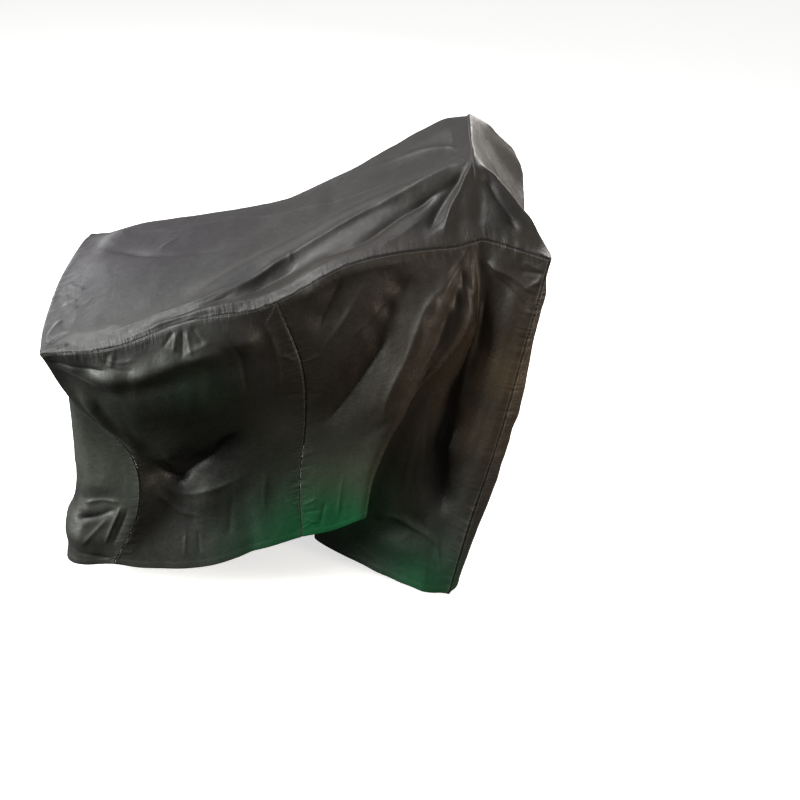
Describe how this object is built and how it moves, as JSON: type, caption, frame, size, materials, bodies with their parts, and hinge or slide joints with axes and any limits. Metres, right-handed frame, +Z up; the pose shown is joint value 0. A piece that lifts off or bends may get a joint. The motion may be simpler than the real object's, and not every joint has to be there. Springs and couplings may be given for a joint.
{
  "type": "exercise bike cover",
  "caption": "Tailored dust and rain cover for an exercise bike: sewn panels of thin dark coated cloth, low at one end, peaked over the handlebar at the other, open at the hem.",
  "frame": {"origin": "underside of the top panel's crown, over the bike's handlebar, where the cover hangs", "axes": "+X from the low end to the high end, +Y across towards the far side, +Z up"},
  "size_m": [1.3104, 0.704, 1.2366],
  "materials": {
    "coated_cloth": "satin coated cloth, dark grey"
  },
  "bodies": {
    "root": {"top_panel": "coated_cloth", "near_side_low": "coated_cloth", "near_side_high": "coated_cloth", "far_side_low": "coated_cloth", "far_side_high": "coated_cloth", "low_end": "coated_cloth", "high_end": "coated_cloth"}
  },
  "joints": []
}
